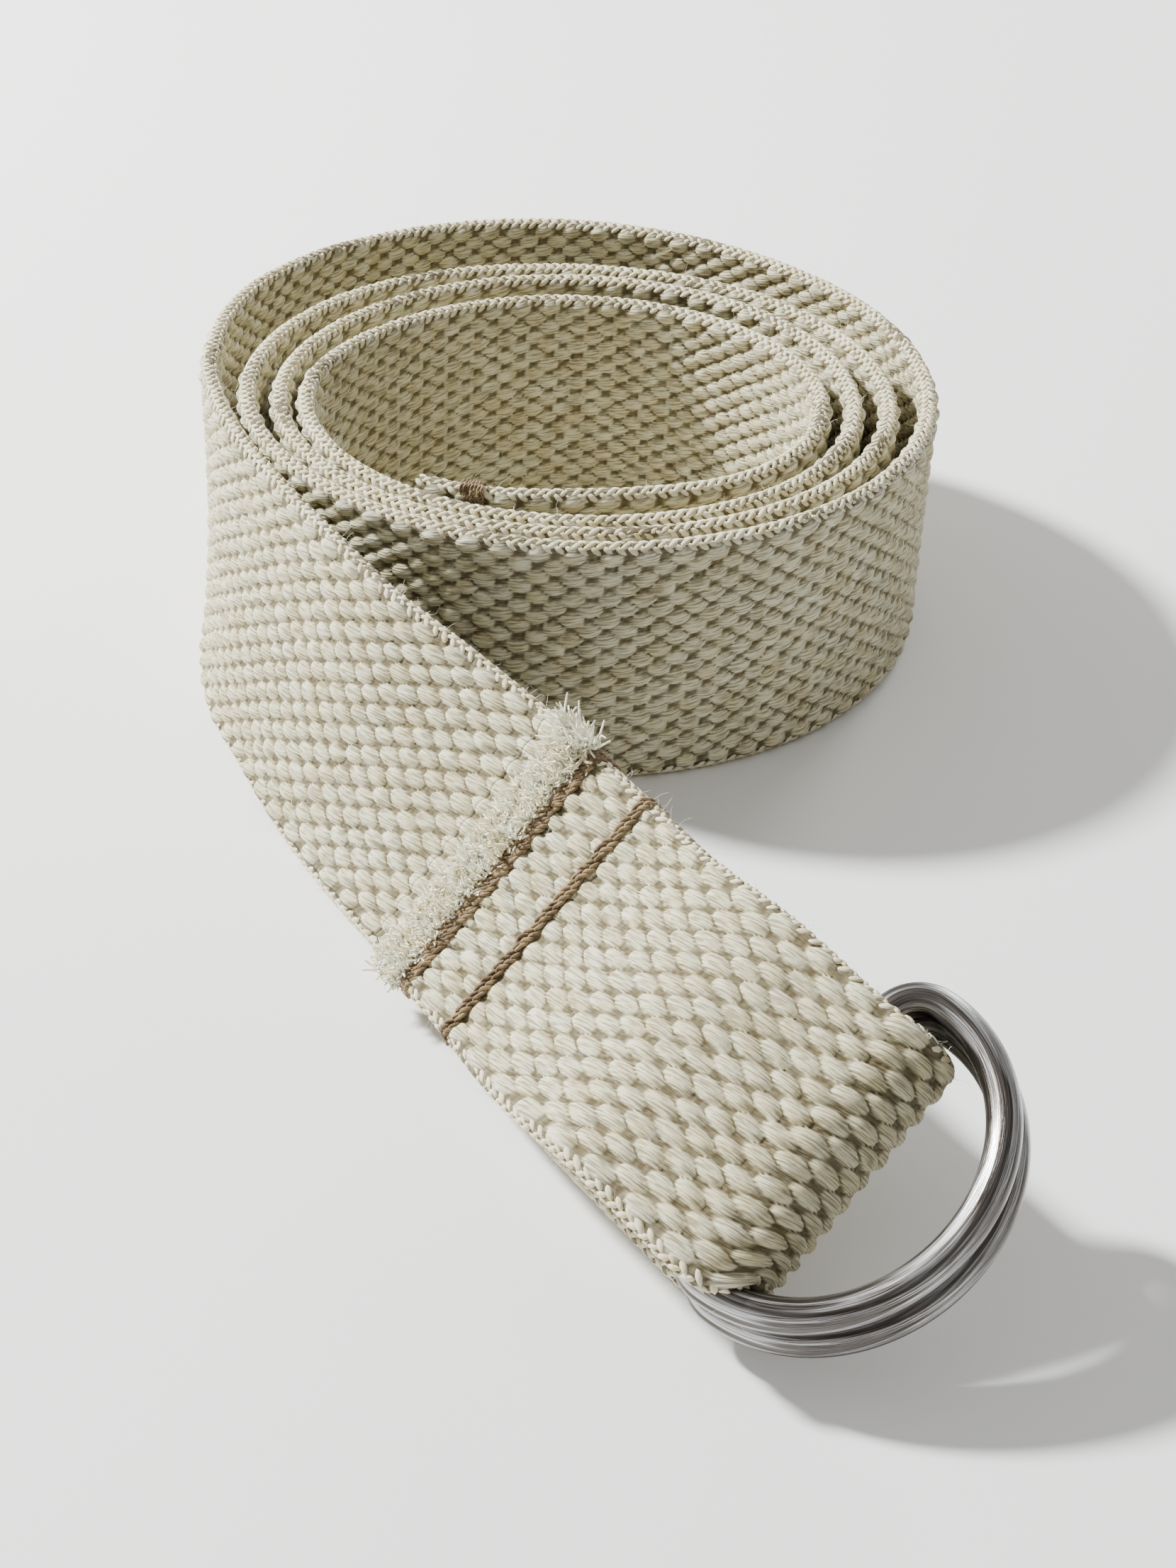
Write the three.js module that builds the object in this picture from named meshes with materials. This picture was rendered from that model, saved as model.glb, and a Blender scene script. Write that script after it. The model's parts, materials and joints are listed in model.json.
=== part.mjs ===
// A cotton stretching strap: webbing wound into a loose coil, whose outer end is folded over
// and sewn into a loop that holds two D-rings. Millimetres, +Z up, standing on z = 0.
import * as THREE from "three";

// Webbing
const STRAP_WIDTH = 38;
const STRAP_THICKNESS = 2.6;
const CUT_GAP = 0.3; // space between two nodes that are one piece of webbing

// Coil: radius of the strap's middle line, turn by turn from the tail outwards. A turn starts
// at the front (-Y) and runs anticlockwise seen from above, with a radius every 45 degrees.
const TURN_RADII = [
  [34, 36.5, 36.5, 34.5, 33.5, 35.5, 41, 42.5],
  [42, 42, 41.5, 42, 42, 42.5, 45, 46],
  [45.5, 46, 47, 47, 46.5, 49, 50, 49.2],
  [49.5, 50.5, 53.5, 59.5, 66.5, 64.5, 55],
];
const TAIL_RADIUS = 39; // at 45 degrees before the first turn, where the tail straightens out
const TAIL_ANGLE = -40;
const COIL_END_ANGLE = 1335;
const CONTROL_ANGLE = 12.5;
const STATIONS_PER_CONTROL = 12;

// Lead: x, y, z of the middle line where it leaves the coil, then two angles in degrees. The
// first says how far the strap stands up on its edge: 90 is upright, as in the coil, and 0 is
// flat. The second is the weave's skew: how far a line across the strap is off square.
const LEAD = [
  [-55.5, 3, 19.1, 90, 0],
  [-54, -13.5, 19.2, 82, 0],
  [-49.6, -31, 19, 72, 0],
  [-43, -46.5, 18.7, 67, 0],
  [-36, -60.5, 17.6, 61, 0],
  [-27.5, -73.5, 16.2, 51, 0],
  [-18.8, -87, 15.2, 43, 0],
  [-11, -101.5, 14.8, 38, 2],
  [-3.5, -116, 14.3, 33, 6],
  [6, -130.5, 12.2, 25, 8],
  [16.5, -145, 9.3, 23, 8],
  [27, -159, 6.3, 23, 8],
];

// Places along the lead, from its first point
const FLEX_AT = 84; // where the free end bends up
const RAW_END_AT = 100; // cut end of the folded-back layer
const STITCH_ROWS_AT = [108.5, 119.5];
const LOOP_OPENS_AT = 121;
const LOOP_OPEN_AT = 152; // from here on the layers are parallel
const FOLD_AT = 165.3;
// The rings draw the near edge in towards the loop's end, and it has its full width before that.
const DRAWN_IN_FROM = 152;
const DRAWN_IN_AT = 160.5;
const EDGE_DRAWN_IN = 3.7;

// D-rings: round wire, bent to a straight bar, two round corners and a half ellipse
const WIRE_DIAMETER = 4;
const RING_HALF_WIDTH = 20.6;
const RING_DEPTH = 22.4;
const RING_CORNER = 4.5;
const RING_BUTT_GAP = 0.3; // the wire's two ends meet in the middle of the bar
const RING_CLEARANCE = 0.4; // to the webbing and to the other ring
const RING_STEP_AHEAD = 1; // the lower ring's bar lies this far ahead of the upper ring's
const RING_ASIDE = 1.7; // the rings' middle lies this far from the strap's, away from that edge
const UPPER_BAR_AT = 162.8;
const OVER_LAYER_SHIFT = 1.2; // the folded-back layer is a little out of line

// Stitching
const THREAD_WIDTH = 1.2;
const THREAD_THICKNESS = 0.5;
const TAIL_STITCH_AT = 8; // from the tail's cut end

const BAR_RISE = STRAP_THICKNESS / 2 + RING_CLEARANCE + WIRE_DIAMETER / 2;
const RING_PITCH = WIRE_DIAMETER + RING_CLEARANCE;
const FOLD_RADIUS = BAR_RISE + RING_PITCH / 2;
const LAYERS_CLOSED = STRAP_THICKNESS + CUT_GAP;

const UP = new THREE.Vector3(0, 0, 1);

const cotton = () => new THREE.MeshStandardMaterial({ color: 0xe4d8c0, roughness: 0.95 });
const thread = () => new THREE.MeshStandardMaterial({ color: 0x8a7460, roughness: 0.8 });
const steel = () =>
  new THREE.MeshStandardMaterial({ color: 0xc8c8c6, roughness: 0.35, metalness: 1 });

// The coil's control points, one every CONTROL_ANGLE, with the radii joined by a smooth curve.
function coilPoints() {
  const radii = [TAIL_RADIUS, ...TURN_RADII.flat()];
  const curve = new THREE.SplineCurve(radii.map((r, i) => new THREE.Vector2(i, r)));
  const points = [];
  for (let angle = TAIL_ANGLE; angle <= COIL_END_ANGLE + 1e-6; angle += CONTROL_ANGLE) {
    const r = curve.getPoint((angle + 45) / 45 / (radii.length - 1)).y;
    const a = THREE.MathUtils.degToRad(angle);
    points.push([r * Math.sin(a), -r * Math.cos(a), STRAP_WIDTH / 2, 90, 0]);
  }
  return points;
}

// A smooth curve through one angle of each control point, in radians.
function angleCurve(controls, index) {
  const degToRad = THREE.MathUtils.degToRad;
  return new THREE.SplineCurve(controls.map((p, i) => new THREE.Vector2(i, degToRad(p[index]))));
}

// Every point of the middle line with its distance from the tail, the strap's heading there,
// its tilt and its skew.
function strapStations() {
  const coil = coilPoints();
  const controls = [...coil, ...LEAD];
  const path = new THREE.CatmullRomCurve3(
    controls.map(([x, y, z]) => new THREE.Vector3(x, y, z)), false, "catmullrom", 0.5);
  const tilts = angleCurve(controls, 3);
  const skews = angleCurve(controls, 4);
  const stations = [];
  const count = (controls.length - 1) * STATIONS_PER_CONTROL;
  let distance = 0;
  for (let i = 0; i <= count; i++) {
    const t = i / count;
    const centre = path.getPoint(t);
    if (i > 0) distance += centre.distanceTo(stations[i - 1].centre);
    const [tilt, skew] = [tilts.getPoint(t).y, skews.getPoint(t).y];
    stations.push({ distance, centre, tilt, skew, along: path.getTangent(t) });
  }
  const leadStart = stations[coil.length * STATIONS_PER_CONTROL].distance;
  return { stations, leadStart };
}

const { stations, leadStart } = strapStations();

// The strap's place at a distance from the tail: its centre, its directions along it, across it
// and out of its outer face, and where its near edge lies on the line across it. The skew leans
// the line across it, and keeps the strap's width.
function frameAt(distance) {
  let next = stations.findIndex((s) => s.distance >= distance);
  next = THREE.MathUtils.clamp(next, 1, stations.length - 1);
  const [a, b] = [stations[next - 1], stations[next]];
  const k = (distance - a.distance) / (b.distance - a.distance);
  const along = a.along.clone().lerp(b.along, k).normalize();
  const level = new THREE.Vector3().crossVectors(UP, along).normalize();
  const square = level.applyAxisAngle(along, THREE.MathUtils.lerp(a.tilt, b.tilt, k));
  const out = new THREE.Vector3().crossVectors(along, square);
  const skew = THREE.MathUtils.lerp(a.skew, b.skew, k);
  const across = square.addScaledVector(along, -Math.tan(skew));
  const near = -STRAP_WIDTH / 2 + EDGE_DRAWN_IN * drawnIn(distance - leadStart);
  return { centre: a.centre.clone().lerp(b.centre, k), along, across, out, near };
}

// How far along its way in the near edge is, at a place along the lead.
function drawnIn(at) {
  return THREE.MathUtils.smoothstep(at, DRAWN_IN_FROM, DRAWN_IN_AT);
}

// The distance from the tail at which the coil has turned to an angle.
function distanceAtAngle(angle) {
  const control = (angle - TAIL_ANGLE) / CONTROL_ANGLE;
  return stations[Math.round(control * STATIONS_PER_CONTROL)].distance;
}

function shifted(frame, across, out) {
  const centre = frame.centre.clone();
  centre.addScaledVector(frame.across, across).addScaledVector(frame.out, out);
  return { ...frame, centre };
}

// How far the folded-back layer stands above the under layer.
function layerRise(at) {
  const k = THREE.MathUtils.smoothstep(at, LOOP_OPENS_AT, LOOP_OPEN_AT);
  return THREE.MathUtils.lerp(LAYERS_CLOSED, 2 * FOLD_RADIUS, k);
}

function overLayerFrame(at) {
  const k = THREE.MathUtils.smoothstep(at, STITCH_ROWS_AT[1], FOLD_AT);
  const frame = shifted(frameAt(leadStart + at), -OVER_LAYER_SHIFT * k, layerRise(at));
  return { ...frame, near: frame.near + OVER_LAYER_SHIFT * k * drawnIn(at) };
}

// The fold at the loop's end: turned by an angle round a line across the strap.
function foldFrame(angle) {
  const base = frameAt(leadStart + FOLD_AT);
  const axis = base.across.clone().normalize();
  const shift = OVER_LAYER_SHIFT * (angle / Math.PI);
  const pivot = shifted(base, -shift, FOLD_RADIUS).centre;
  const out = base.out.clone().applyAxisAngle(axis, -angle);
  const centre = pivot.addScaledVector(out, -FOLD_RADIUS);
  return { centre, across: base.across, out, near: base.near + shift };
}

// A closed band of webbing through a row of frames: a box bent and twisted along them.
function bandGeometry(frames) {
  const steps = frames.length - 1;
  const geometry = new THREE.BoxGeometry(steps, STRAP_WIDTH, STRAP_THICKNESS, steps, 1, 1);
  const position = geometry.attributes.position;
  const point = new THREE.Vector3();
  for (let i = 0; i < position.count; i++) {
    point.fromBufferAttribute(position, i);
    const frame = frames[Math.round(point.x + steps / 2)];
    const placed = shifted(frame, point.y < 0 ? frame.near : point.y, point.z).centre;
    position.setXYZ(i, placed.x, placed.y, placed.z);
  }
  geometry.computeVertexNormals();
  return geometry;
}

function samples(from, to, steps, frameOf) {
  return Array.from({ length: steps + 1 }, (_, i) => frameOf(from + ((to - from) * i) / steps));
}

function named(name, geometry, material) {
  const mesh = new THREE.Mesh(geometry, material);
  mesh.name = name;
  return mesh;
}

// A stretch of the strap between two distances from the tail, short of both by half a gap.
function strapStretch(name, from, to, steps) {
  const frames = samples(from + CUT_GAP / 2, to - CUT_GAP / 2, steps, frameAt);
  return named(name, bandGeometry(frames), cotton());
}

function coilTurns() {
  const ends = [TAIL_ANGLE, 310, 660, 1010, COIL_END_ANGLE];
  const names = ["coil_turn_inner", "coil_turn_second", "coil_turn_third", "coil_turn_outer"];
  return names.map((name, i) =>
    strapStretch(name, distanceAtAngle(ends[i]), distanceAtAngle(ends[i + 1]), 40));
}

function lead() {
  const coilEnd = distanceAtAngle(COIL_END_ANGLE);
  const flex = leadStart + FLEX_AT;
  return [strapStretch("lead_webbing", coilEnd, flex, 20)];
}

function sewnLoop() {
  const flex = leadStart + FLEX_AT;
  const foldEnd = CUT_GAP / 2 / FOLD_RADIUS;
  const fold = samples(foldEnd, Math.PI - foldEnd, 14, foldFrame);
  const over = samples(RAW_END_AT, FOLD_AT - CUT_GAP / 2, 20, overLayerFrame);
  return [
    strapStretch("loop_under_layer", flex, leadStart + FOLD_AT, 20),
    named("loop_fold", bandGeometry(fold), cotton()),
    named("loop_over_layer", bandGeometry(over), cotton()),
  ];
}

// Sets a mesh's Y across the strap, its Z out of the strap, and its X ahead.
function placeInFrame(mesh, { centre, across, out }) {
  const y = across.clone().normalize();
  const x = new THREE.Vector3().crossVectors(y, out);
  mesh.quaternion.setFromRotationMatrix(new THREE.Matrix4().makeBasis(x, y, out));
  mesh.position.copy(centre);
  return mesh;
}

// One run of thread across the strap, lying on its outer face (side 1) or inner face (side -1).
function threadRun(name, frame, side) {
  const geometry = new THREE.BoxGeometry(THREAD_WIDTH, STRAP_WIDTH, THREAD_THICKNESS);
  const rise = STRAP_THICKNESS / 2 + CUT_GAP + THREAD_THICKNESS / 2;
  return placeInFrame(named(name, geometry, thread()), shifted(frame, 0, side * rise));
}

function tailStitching() {
  const frame = frameAt(distanceAtAngle(TAIL_ANGLE) + TAIL_STITCH_AT);
  return [threadRun("tail_thread_outer", frame, 1), threadRun("tail_thread_inner", frame, -1)];
}

function loopStitching() {
  return STITCH_ROWS_AT.flatMap((at, i) => [
    threadRun(`loop_thread_${i + 1}_over`, overLayerFrame(at), 1),
    threadRun(`loop_thread_${i + 1}_under`, frameAt(leadStart + at), -1),
  ]);
}

// Centre line of a D-ring: its bar lies along Y at x = 0, and its bow reaches out to +X.
function ringOutline() {
  const [w, c, gap] = [RING_HALF_WIDTH, RING_CORNER, RING_BUTT_GAP / 2];
  const outline = new THREE.Path();
  outline.moveTo(0, gap);
  outline.lineTo(0, w - c);
  outline.absarc(c, w - c, c, Math.PI, Math.PI / 2, true);
  outline.absellipse(c, 0, RING_DEPTH - c, w, Math.PI / 2, -Math.PI / 2, true);
  outline.absarc(c, c - w, c, -Math.PI / 2, -Math.PI, true);
  outline.lineTo(0, -gap);
  return outline.getSpacedPoints(60).map((p) => new THREE.Vector3(p.x, p.y, 0));
}

function ring(name, frame) {
  const section = new THREE.Shape().absarc(0, 0, WIRE_DIAMETER / 2, 0, 2 * Math.PI);
  const geometry = new THREE.ExtrudeGeometry(section, {
    steps: 60,
    curveSegments: 10,
    bevelEnabled: false,
    extrudePath: new THREE.CatmullRomCurve3(ringOutline(), false, "centripetal"),
  });
  return placeInFrame(named(name, geometry, steel()), frame);
}

function rings() {
  const loop = frameAt(leadStart + UPPER_BAR_AT);
  const upper = shifted(loop, RING_ASIDE, BAR_RISE + RING_PITCH);
  const lower = shifted(upper, 0, -RING_PITCH);
  lower.centre.addScaledVector(loop.along, RING_STEP_AHEAD);
  return [ring("d_ring_upper", upper), ring("d_ring_lower", lower)];
}

const strap = new THREE.Group();
strap.add(...coilTurns(), ...lead(), ...sewnLoop());
strap.add(...tailStitching(), ...loopStitching(), ...rings());

// The origin is the centre of the object's footprint box, on the surface it stands on.
const box = new THREE.Box3().setFromObject(strap, true);
const middle = box.getCenter(new THREE.Vector3());
strap.position.set(-middle.x, -middle.y, -box.min.z);

const part = new THREE.Group();
part.add(strap);

export default part;
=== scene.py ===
"""A cotton stretching strap, wound into a coil, with two D-rings in its sewn loop."""
import json
import math

import bpy
import numpy as np
from mathutils import Matrix, Vector


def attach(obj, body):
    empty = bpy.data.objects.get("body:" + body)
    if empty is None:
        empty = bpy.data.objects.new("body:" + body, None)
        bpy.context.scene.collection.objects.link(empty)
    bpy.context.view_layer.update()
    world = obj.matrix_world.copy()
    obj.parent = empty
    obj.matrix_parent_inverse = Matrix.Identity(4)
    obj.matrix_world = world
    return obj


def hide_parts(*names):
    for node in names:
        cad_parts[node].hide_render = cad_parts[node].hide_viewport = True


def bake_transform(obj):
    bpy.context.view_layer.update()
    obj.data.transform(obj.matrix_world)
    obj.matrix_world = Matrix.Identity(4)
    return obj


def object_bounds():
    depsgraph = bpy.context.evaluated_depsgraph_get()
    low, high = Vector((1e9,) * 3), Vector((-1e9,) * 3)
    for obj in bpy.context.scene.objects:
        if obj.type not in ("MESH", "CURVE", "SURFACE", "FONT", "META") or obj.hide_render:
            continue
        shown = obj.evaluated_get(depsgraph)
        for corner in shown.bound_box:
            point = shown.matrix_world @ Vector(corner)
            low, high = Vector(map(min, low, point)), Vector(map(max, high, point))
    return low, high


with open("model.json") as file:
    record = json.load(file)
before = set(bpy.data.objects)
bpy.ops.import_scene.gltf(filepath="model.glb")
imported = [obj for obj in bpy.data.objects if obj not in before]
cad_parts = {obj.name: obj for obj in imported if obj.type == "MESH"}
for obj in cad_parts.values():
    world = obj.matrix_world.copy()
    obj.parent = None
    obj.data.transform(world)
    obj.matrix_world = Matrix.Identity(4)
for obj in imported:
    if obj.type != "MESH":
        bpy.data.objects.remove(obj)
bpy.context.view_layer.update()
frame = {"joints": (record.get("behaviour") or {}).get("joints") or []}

MM = 0.001

# ---------------------------------------------------------------- the strap's route, in mm
# These are the CAD model's own sizes, in the coil's frame.
STRAP_WIDTH = 38.0
STRAP_THICKNESS = 2.6
CUT_GAP = 0.3  # between two solids of the CAD model
# The coil's radii, a row for each turn, one every RADIUS_STEP degrees.
TURN_RADII = [
    [34, 36.5, 36.5, 34.5, 33.5, 35.5, 41, 42.5],
    [42, 42, 41.5, 42, 42, 42.5, 45, 46],
    [45.5, 46, 47, 47, 46.5, 49, 50, 49.2],
    [49.5, 50.5, 53.5, 59.5, 66.5, 64.5, 55],
]
RADIUS_STEP = 45
TAIL_RADIUS = 39  # one step before the first of them
TAIL_ANGLE = -40
COIL_END_ANGLE = 1335
CONTROL_ANGLE = 12.5
STATIONS_PER_CONTROL = 12
# x, y and z in mm, and the tilt from flat and the weave's skew in degrees
LEAD = [
    [-55.5, 3, 19.1, 90, 0],
    [-54, -13.5, 19.2, 82, 0],
    [-49.6, -31, 19, 72, 0],
    [-43, -46.5, 18.7, 67, 0],
    [-36, -60.5, 17.6, 61, 0],
    [-27.5, -73.5, 16.2, 51, 0],
    [-18.8, -87, 15.2, 43, 0],
    [-11, -101.5, 14.8, 38, 2],
    [-3.5, -116, 14.3, 33, 6],
    [6, -130.5, 12.2, 25, 8],
    [16.5, -145, 9.3, 23, 8],
    [27, -159, 6.3, 23, 8],
]
STITCH_ROWS_AT = [108.5, 119.5]
# How far a stitch row is off its place: at the middle, and for each mm across.
ROW_LEAN = (-0.45, -0.05)
LOOP_OPENS_AT = 121
LOOP_OPEN_AT = 152
FOLD_AT = 165.3
EDGE_DRAWN_IN = 3.7
EDGE_PULL_FROM = 4  # mm before the fold
EDGE_RELEASED = (1.8, 2.7)  # radians round the fold, where the edge gets its width back
WIRE_RADIUS = 2.0
RING_HALF_WIDTH = 20.6
RING_DEPTH = 22.4
RING_CORNER = 4.5
RING_CLEARANCE = 0.4
RING_STEP_AHEAD = 1
RING_ASIDE = 1.7
UPPER_BAR_AT = 162.8
OVER_LAYER_SHIFT = 1.2
TAIL_STITCH_AT = 8

BAR_RISE = STRAP_THICKNESS / 2 + RING_CLEARANCE + WIRE_RADIUS
RING_PITCH = 2 * WIRE_RADIUS + RING_CLEARANCE
FOLD_RADIUS = BAR_RISE + RING_PITCH / 2
LAYERS_CLOSED = STRAP_THICKNESS + CUT_GAP


def unit(v):
    return v / np.linalg.norm(v, axis=-1, keepdims=True)


def lengths_along(points):
    """How far each point of a line is from the first, along the line."""
    steps = np.linalg.norm(np.diff(points, axis=0), axis=1)
    return np.concatenate([[0], np.cumsum(steps)])


def catmull_rom(points, places, mirrored_ends):
    """A uniform Catmull-Rom curve through the points, read at places counted in spans."""
    p = np.asarray(points, float)
    if mirrored_ends:
        p = np.vstack([2 * p[0] - p[1], p, 2 * p[-1] - p[-2]])
    else:
        p = np.vstack([p[0], p, p[-1]])
    span = np.clip(np.floor(places).astype(int), 0, len(p) - 4)
    k = (places - span)[:, None]
    a, b, c, d = (p[span + i] for i in range(4))
    return 0.5 * (2 * b + (c - a) * k + (2 * a - 5 * b + 4 * c - d) * k**2
                  + (3 * b - a - 3 * c + d) * k**3)


def coil_controls():
    """The coil's control points: x, y, z, tilt and skew, one every CONTROL_ANGLE."""
    radii = np.array([TAIL_RADIUS] + sum(TURN_RADII, []), float)[:, None]
    angles = np.arange(TAIL_ANGLE, COIL_END_ANGLE + 1e-6, CONTROL_ANGLE)
    r = catmull_rom(radii, (angles + RADIUS_STEP) / RADIUS_STEP, False)[:, 0]
    a = np.radians(angles)
    flat = np.full_like(a, STRAP_WIDTH / 2)
    return np.stack([r * np.sin(a), -r * np.cos(a), flat, flat * 0 + 90, flat * 0], -1)


def strap_stations():
    """The middle line's points with distances, headings, tilts and skews, and the lead's start."""
    coil = coil_controls()
    controls = np.vstack([coil, LEAD])
    places = np.arange((len(controls) - 1) * STATIONS_PER_CONTROL + 1) / STATIONS_PER_CONTROL
    centre = catmull_rom(controls[:, :3], places, True)
    angles = np.radians(catmull_rom(controls[:, 3:], places, False))
    distance = lengths_along(centre)
    return distance, centre, angles, distance[len(coil) * STATIONS_PER_CONTROL]


DISTANCE, CENTRE, ANGLES, LEAD_START = strap_stations()
ALONG = unit(np.gradient(CENTRE, DISTANCE, axis=0))
FOLD_START = LEAD_START + FOLD_AT
OVER_START = FOLD_START + math.pi * FOLD_RADIUS
# The cut end's yarns open into a pile between these places.
PILE_FROM = 102.6
PILE_TO = 107.8
STRAP_END = OVER_START + FOLD_AT - PILE_FROM


def read(table, distance):
    return np.stack([np.interp(distance, DISTANCE, column) for column in table.T], -1)


def frames_at(distance):
    """Centre, across and out at distances from the tail, before the fold."""
    centre = read(CENTRE, distance)
    along = unit(read(ALONG, distance))
    tilt, skew = read(ANGLES, distance).T[:, :, None]
    level = unit(np.cross([0, 0, 1], along))
    square = level * np.cos(tilt) + np.cross(along, level) * np.sin(tilt)
    out = np.cross(along, square)
    return centre, square - along * np.tan(skew), out


def smoothstep(x, low, high):
    k = np.clip((x - low) / (high - low), 0, 1)
    return k * k * (3 - 2 * k)


def turned(v, axis, angle):
    """Vectors v turned about a unit axis by angles."""
    c, s = np.cos(angle)[:, None], np.sin(angle)[:, None]
    return v * c + np.cross(axis, v) * s + axis * (v @ axis)[:, None] * (1 - c)


def fold_frames(angle):
    """Centre and across round the fold at the loop's end."""
    centre, across, out = (v[0] for v in frames_at(np.array([FOLD_START])))
    pivot = centre + out * FOLD_RADIUS - across * (OVER_LAYER_SHIFT * angle / math.pi)[:, None]
    outward = turned(out[None], unit(across), -angle)
    return pivot - outward * FOLD_RADIUS, np.repeat(across[None], len(angle), 0)


def over_frames(at):
    """Centre and across of the folded-back layer, at places along the lead."""
    centre, across, out = frames_at(LEAD_START + at)
    shift = OVER_LAYER_SHIFT * smoothstep(at, STITCH_ROWS_AT[1], FOLD_AT)
    opened = smoothstep(at, LOOP_OPENS_AT, LOOP_OPEN_AT)
    rise = LAYERS_CLOSED + (2 * FOLD_RADIUS - LAYERS_CLOSED) * opened
    return centre - across * shift[:, None] + out * rise[:, None], across


def band_frames(distance):
    """Centre, across and face normal anywhere on the strap, from the tail to the raw end."""
    centre, across, _ = frames_at(np.minimum(distance, FOLD_START))
    fold = (distance > FOLD_START) & (distance <= OVER_START)
    over = distance > OVER_START
    angle = (distance[fold] - FOLD_START) / FOLD_RADIUS
    centre[fold], across[fold] = fold_frames(angle)
    centre[over], across[over] = over_frames(FOLD_AT - (distance[over] - OVER_START))
    along = unit(np.gradient(centre, distance, axis=0))
    return centre, across, unit(np.cross(along, across))


def edge_pull(distance):
    """How far the rings draw the near edge in: fully at the fold's start, not at its end."""
    angle = (distance - FOLD_START) / FOLD_RADIUS
    shift = OVER_LAYER_SHIFT * np.clip(angle / math.pi, 0, 1)
    drawn_in = smoothstep(distance, FOLD_START - EDGE_PULL_FROM, FOLD_START)
    drawn_in = drawn_in * (1 - smoothstep(angle, *EDGE_RELEASED))
    return (EDGE_DRAWN_IN + shift) * drawn_in


def ring_frames():
    """The upper and the lower ring's bar centre, with the rings' directions as columns."""
    centre, across, out = (v[0] for v in frames_at(np.array([LEAD_START + UPPER_BAR_AT])))
    along = unit(read(ALONG, np.array([LEAD_START + UPPER_BAR_AT])))[0]
    upper = centre + across * RING_ASIDE + out * (BAR_RISE + RING_PITCH)
    lower = upper - out * RING_PITCH + along * RING_STEP_AHEAD
    y = unit(across)
    return upper, lower, np.stack([np.cross(y, out), y, out], -1)


UPPER_BAR, LOWER_BAR, RING_TURN = ring_frames()
JOINT_AT = {j["name"]: np.array(j["pos_m"]) for j in frame["joints"]}
# From the coil's frame to the row's: both hold the upper ring's hinge.
OFFSET = JOINT_AT["upper_ring_swing"] / MM - UPPER_BAR


def placed(points):
    """Points in mm in the coil's frame, as metres in the row's."""
    return (points + OFFSET) * MM


# ---------------------------------------------------------------- mesh helpers
def mesh_object(name, points, faces, material):
    """A smooth mesh from points in metres and an array of equal-sided faces."""
    mesh = bpy.data.meshes.new(name)
    sides = faces.shape[1]
    mesh.vertices.add(len(points))
    mesh.vertices.foreach_set("co", points.astype(np.float32).ravel())
    mesh.loops.add(faces.size)
    mesh.loops.foreach_set("vertex_index", faces.astype(np.int32).ravel())
    mesh.polygons.add(len(faces))
    mesh.polygons.foreach_set("loop_start", np.arange(0, faces.size, sides, dtype=np.int32))
    mesh.update(calc_edges=True)
    mesh.shade_smooth()
    mesh.materials.append(material)
    obj = bpy.data.objects.new(name, mesh)
    bpy.context.scene.collection.objects.link(obj)
    return obj


def tube_faces(rows, sides):
    """Quads of a tube of rows of points, each row a closed ring."""
    r, s = np.meshgrid(np.arange(rows - 1), np.arange(sides), indexing="ij")
    n = (s + 1) % sides
    quads = np.stack([r * sides + s, (r + 1) * sides + s, (r + 1) * sides + n, r * sides + n], -1)
    return quads.reshape(-1, 4)


def vector_attribute(obj, name, values):
    attribute = obj.data.attributes.new(name, "FLOAT_VECTOR", "POINT")
    attribute.data.foreach_set("vector", values.astype(np.float32).ravel())


# ---------------------------------------------------------------- the weave
PICK = 2.44  # distance between crossing yarns
PERIOD = 2 * PICK  # one float and one dip of a warp yarn
DRAWN_OUT = 0.26  # how much longer the weave is at the loop
DRAWN_OUT_OVER = (10, 130)  # mm along the lead
FACE_COLUMNS = 22
EDGE_COLUMNS = 2
SIDE_COLUMNS = FACE_COLUMNS + EDGE_COLUMNS
COLUMNS = 2 * SIDE_COLUMNS
CORE = 0.65  # half the thickness between the yarns that stand out
RIM_CORE = 1.0  # the same at the thicker edges
RIM_BLEND = 1.6  # mm over which one becomes the other
FLOAT = (1.84, 1.32, 0.88)  # half length, half width and height of a yarn that stands out
FLOAT_LEAN = 0.1  # mm along for each mm across
CROWN_POWER = 0.6  # 0.5 would make every float half an ellipsoid
# How far floats stray: along and across in mm, in size and in height as shares.
STRAY = (0.15, 0.08, 0.07, 0.12)
WEFT = (0.42, 0.2)  # half width and height of one of a crossing pair of yarns
WEFT_APART = 0.45  # from the pair's middle
WEFT_SHARE = 0.3  # how far out of a crease a crossing yarn counts as
CREASE_DEPTH = 0.12  # where two yarns meet
CREASE_CLEAR = 0.5  # height above the next yarn that is out of the crease
ROW_PRESS = 0.85  # the share of the relief that a stitch row takes away
ROW_PRESS_WIDTH = 1.1
WANDER = ((0.12, 9.1, 0), (0.08, 3.7, 1))  # the edges' waves: height, length and phase
# The short slanting stitches over the edges.
RIM_PITCH = PERIOD / 3
EDGE_STITCH = (0.98, 0.46, 0.34)  # half length, half width and half height
EDGE_STITCH_TURNS = [22, 66, 114, 158]  # degrees round the edge, from the outer face
EDGE_STITCH_SLANT = 34  # degrees
FLAT_HALF = STRAP_WIDTH / 2 - RIM_CORE - EDGE_STITCH[2]
COLUMN_WIDTH = 2 * FLAT_HALF / FACE_COLUMNS

rng = np.random.default_rng(11)
JITTER = rng.uniform(-1, 1, (COLUMNS, 1200, 4))


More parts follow.
